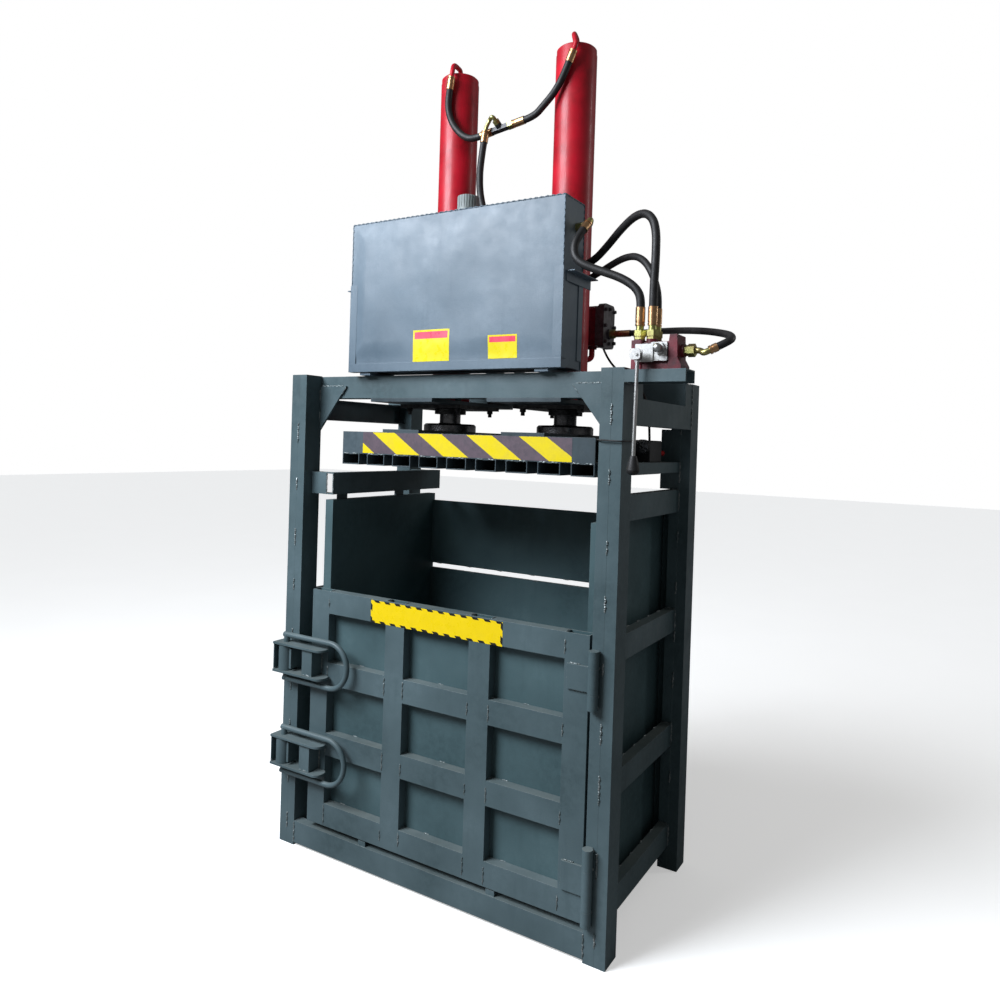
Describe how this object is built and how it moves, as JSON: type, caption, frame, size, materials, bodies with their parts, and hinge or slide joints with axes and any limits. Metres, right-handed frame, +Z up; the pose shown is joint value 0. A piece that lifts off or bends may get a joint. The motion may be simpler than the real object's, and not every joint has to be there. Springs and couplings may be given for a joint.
{
  "type": "vertical recycling baler",
  "caption": "Upright steel baling press with twin red rams, a swinging front door with lever latches, a slim oil tank and a hand valve.",
  "frame": {"origin": "centre of the machine's outline in plan, on the floor under the posts", "axes": "+Z up, +X to the right seen from the front, the door faces -Y"},
  "size_m": [2.0134, 0.965, 3.6782],
  "materials": {
    "frame_paint": "semi-gloss blue-grey paint",
    "cylinder_paint": "glossy red paint",
    "tank_paint": "glossy blue-grey paint",
    "rod_steel": "polished",
    "dark_steel": "dull",
    "valve_paint": "maroon paint",
    "bright_alloy": "satin",
    "zinc_gold": "plated",
    "black_rubber": "satin",
    "black_plastic": "matte",
    "red_plastic": "glossy",
    "cap_plastic": "ridged grey",
    "motor_paint": "satin"
  },
  "bodies": {
    "frame": {"post_front_left": "frame_paint", "post_front_right": "frame_paint", "post_rear_left": "frame_paint", "post_rear_right": "frame_paint", "cross_beams": "frame_paint", "side_beams": "frame_paint", "gusset_plates": "frame_paint", "cylinder_mount_plates": "frame_paint", "base_channels": "frame_paint", "floor_plate": "frame_paint", "side_rails": "frame_paint", "rear_rails": "frame_paint", "wall_left": "frame_paint", "wall_right": "frame_paint", "back_panels": "frame_paint", "guide_rail": "frame_paint", "control_shelf": "frame_paint", "hinge_barrels": "frame_paint", "latch_catches": "frame_paint", "cylinder_barrel_left": "cylinder_paint", "cylinder_barrel_right": "cylinder_paint", "cylinder_flanges": "dark_steel", "flange_bolts": "dark_steel", "oil_tank": "tank_paint", "tank_cradle": "tank_paint", "valve_arm": "frame_paint", "valve_body": "valve_paint", "valve_bonnet": "bright_alloy", "motor": "motor_paint", "bell_housing": "bright_alloy", "pump": "valve_paint", "motor_stand": "frame_paint", "cylinder_pipes": "cylinder_paint", "tee_blocks": "dark_steel", "port_fittings": "zinc_gold", "hose_ferrules": "zinc_gold", "control_box": "black_plastic", "hose_left_cylinder": "black_rubber", "hose_right_cylinder": "black_rubber", "hose_supply": "black_rubber", "hose_tank_return": "black_rubber", "hose_rod_side": "black_rubber", "hose_pressure": "black_rubber", "motor_cable": "black_rubber", "signal_wire": "black_rubber"},
    "press": {"piston_rods": "rod_steel", "platen_frame": "frame_paint", "platen_tubes": "frame_paint", "platen_pads": "frame_paint"},
    "door": {"door_frame": "frame_paint", "door_skin": "frame_paint", "hinge_leaves": "frame_paint", "latch_brackets": "frame_paint"},
    "latch_upper": {"latch_handle_upper": "frame_paint"},
    "latch_lower": {"latch_handle_lower": "frame_paint"},
    "lever": {"control_lever": "bright_alloy", "lever_grip": "black_rubber"},
    "selector": {"selector_lever": "red_plastic"},
    "filler": {"filler_cap": "cap_plastic"},
    "rotor": {"motor_shaft": "dark_steel"}
  },
  "joints": [
    {"name": "press_slide", "type": "slide", "parent": "frame", "child": "press", "axis": [0, 0, -1], "range_m": [0, 1.05]},
    {"name": "door_swing", "type": "hinge", "parent": "frame", "child": "door", "pos_m": [0.59116, -0.428, 0.65], "axis": [0, 0, 1], "range_deg": [0, 165]},
    {"name": "latch_upper_turn", "type": "hinge", "parent": "door", "child": "latch_upper", "pos_m": [-0.93584, -0.4445, 0.877], "axis": [0, 0, -1], "range_deg": [0, 150]},
    {"name": "latch_lower_turn", "type": "hinge", "parent": "door", "child": "latch_lower", "pos_m": [-0.93584, -0.4445, 0.45], "axis": [0, 0, -1], "range_deg": [0, 150]},
    {"name": "lever_swing", "type": "hinge", "parent": "frame", "child": "lever", "pos_m": [0.72516, -0.4415, 2.214], "axis": [0, 1, 0], "range_deg": [-15, 15], "stiffness_Nm_per_rad": 12},
    {"name": "selector_push", "type": "slide", "parent": "frame", "child": "selector", "axis": [0, -1, 0], "range_m": [0, 0.008], "stiffness_N_per_m": 600},
    {"name": "filler_turn", "type": "hinge", "parent": "frame", "child": "filler", "pos_m": [-0.12484, -0.2675, 2.89], "axis": [0, 0, 1], "continuous": true},
    {"name": "motor_spin", "type": "hinge", "parent": "frame", "child": "rotor", "pos_m": [-0.08584, 0.2875, 2.435], "axis": [1, 0, 0], "continuous": true}
  ]
}
